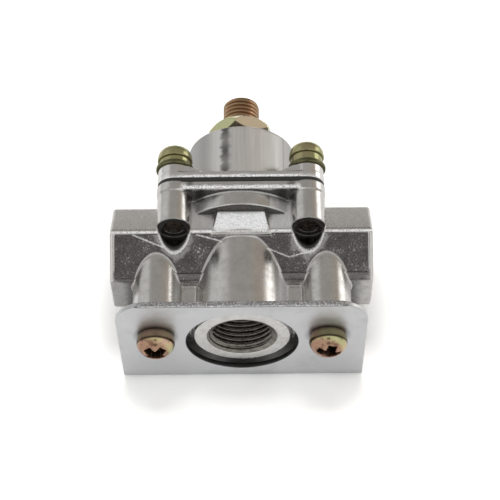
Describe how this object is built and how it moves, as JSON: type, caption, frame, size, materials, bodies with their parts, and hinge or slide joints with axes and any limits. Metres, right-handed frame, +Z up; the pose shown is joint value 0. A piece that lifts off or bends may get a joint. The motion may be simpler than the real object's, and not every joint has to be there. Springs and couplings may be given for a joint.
{
  "type": "fuel pressure regulator",
  "caption": "Adjustable diaphragm fuel pressure regulator with a threaded inlet, two side outlets, a square-flanged spring bonnet, adjusting screw with jam nut, and a folded mounting bracket.",
  "frame": {"origin": "centre of the two mounting holes, in the bracket leg's mounting face", "axes": "+X to the right across the outlets, +Y along the regulator from the inlet to the adjusting screw, +Z up out of the mounting face"},
  "size_m": [0.0686, 0.0814, 0.041],
  "materials": {
    "cast_chrome": "bright plated die casting with as-cast grain in its sunk faces",
    "satin_chrome": "brushed plated casting",
    "zinc_plate": "satin zinc-plated sheet",
    "yellow_zinc": "yellow passivated zinc plating",
    "bronze_zinc": "darker yellow passivated thread",
    "plain_steel": "plain pressed steel",
    "spring_steel": "drawn spring wire",
    "brass": "turned brass",
    "black_rubber": "matt fuel-proof rubber"
  },
  "bodies": {
    "root": {"bonnet": "satin_chrome", "bonnet_screw_1": "yellow_zinc", "bonnet_screw_2": "yellow_zinc", "bonnet_screw_3": "yellow_zinc", "bonnet_screw_4": "yellow_zinc", "bracket": "zinc_plate", "bracket_screw_left": "yellow_zinc", "bracket_screw_right": "yellow_zinc", "diaphragm": "black_rubber", "flat_washer_1": "yellow_zinc", "flat_washer_2": "yellow_zinc", "flat_washer_3": "yellow_zinc", "flat_washer_4": "yellow_zinc", "lock_washer_1": "yellow_zinc", "lock_washer_2": "yellow_zinc", "lock_washer_3": "yellow_zinc", "lock_washer_4": "yellow_zinc", "main_spring": "spring_steel", "regulator_body": "cast_chrome", "return_spring": "spring_steel", "spring_retainer": "brass", "valve_seat": "brass", "valve_seat_gasket": "black_rubber"},
    "diaphragm_stack": {"lower_diaphragm_plate": "plain_steel", "upper_diaphragm_plate": "plain_steel", "diaphragm_nut": "yellow_zinc", "valve_poppet": "brass", "poppet_seal": "black_rubber"},
    "spring_carrier": {"upper_spring_seat": "plain_steel"},
    "adjuster": {"adjusting_screw": "bronze_zinc"},
    "lock_nut": {"jam_nut": "yellow_zinc"}
  },
  "joints": [
    {"name": "diaphragm_travel", "type": "slide", "parent": "root", "child": "diaphragm_stack", "axis": [0, 1, 0], "range_m": [0, 0.001], "stiffness_N_per_m": 2000, "springref_m": -0.004, "deforming": ["diaphragm", "return_spring", "main_spring"]},
    {"name": "seat_travel", "type": "slide", "parent": "root", "child": "spring_carrier", "axis": [0, 1, 0], "range_m": [-0.0025, 0.0025], "deforming": ["main_spring"]},
    {"name": "adjuster_turn", "type": "hinge", "parent": "spring_carrier", "child": "adjuster", "pos_m": [0, 0.016, 0.0214], "axis": [0, 1, 0], "range_deg": [-720, 720]},
    {"name": "jam_nut_turn", "type": "hinge", "parent": "root", "child": "lock_nut", "pos_m": [0, 0.018, 0.0214], "axis": [0, 1, 0], "range_deg": [0, 90]}
  ],
  "couplings": [
    {"joint": "seat_travel", "follows": "adjuster_turn", "m_per_rad": 0.00019894}
  ]
}
